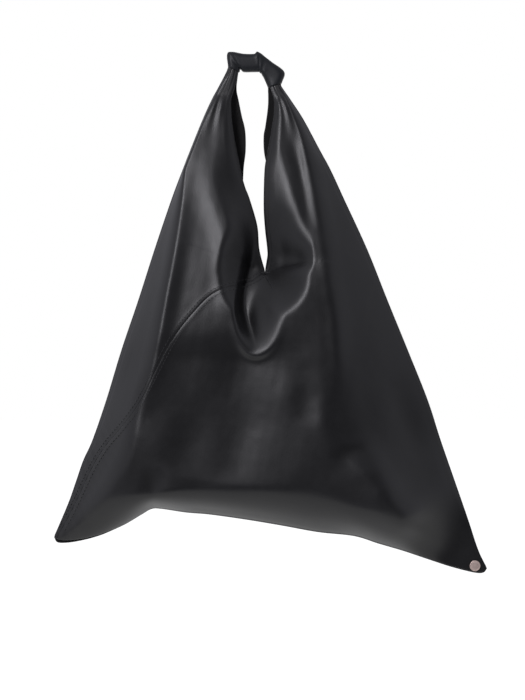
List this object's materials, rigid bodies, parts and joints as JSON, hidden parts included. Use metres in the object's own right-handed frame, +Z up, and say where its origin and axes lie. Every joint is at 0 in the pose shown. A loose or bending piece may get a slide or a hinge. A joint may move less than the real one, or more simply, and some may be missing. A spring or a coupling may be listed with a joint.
{
  "type": "triangle shoulder bag",
  "caption": "Soft black leather bag of triangular outline: two ears gathered into one sleeve handle, a slit mouth, slanting seams and a rivet in the lower right tip.",
  "frame": {"origin": "hang point: the middle of the handle sleeve's underside, where a hook or a hand takes the load", "axes": "+Z up, +X to the right as the bag is seen from its front, front facing -Y"},
  "size_m": [0.5185, 0.1158, 0.6247],
  "materials": {
    "leather": "smooth fine-grained black leather with a satin sheen",
    "sleeve_leather": "smooth black leather, slightly worn",
    "gathered_leather": "gathered black leather",
    "thread": "waxed black thread",
    "rivet_metal": "polished rose-tinted metal, bare"
  },
  "bodies": {
    "handle": {"handle_sleeve": "sleeve_leather", "sleeve_thread": "thread", "left_ear_end": "gathered_leather", "right_ear_end": "gathered_leather"},
    "bag": {"front_ear_panel": "leather", "front_main_panel": "leather", "back_main_panel": "leather", "back_ear_panel": "leather", "front_seam_thread_upper": "thread", "front_seam_thread_lower": "thread", "back_seam_thread_lower": "thread", "back_seam_thread_upper": "thread", "front_bar_tack": "thread", "back_bar_tack": "thread", "rivet_cap": "rivet_metal", "rivet_stem": "rivet_metal", "rivet_base": "rivet_metal"}
  },
  "joints": [
    {"name": "handle_fold", "type": "hinge", "parent": "handle", "child": "bag", "pos_m": [0, 0, -0.02806], "axis": [1, 0, 0], "range_deg": [-75, 75]}
  ]
}
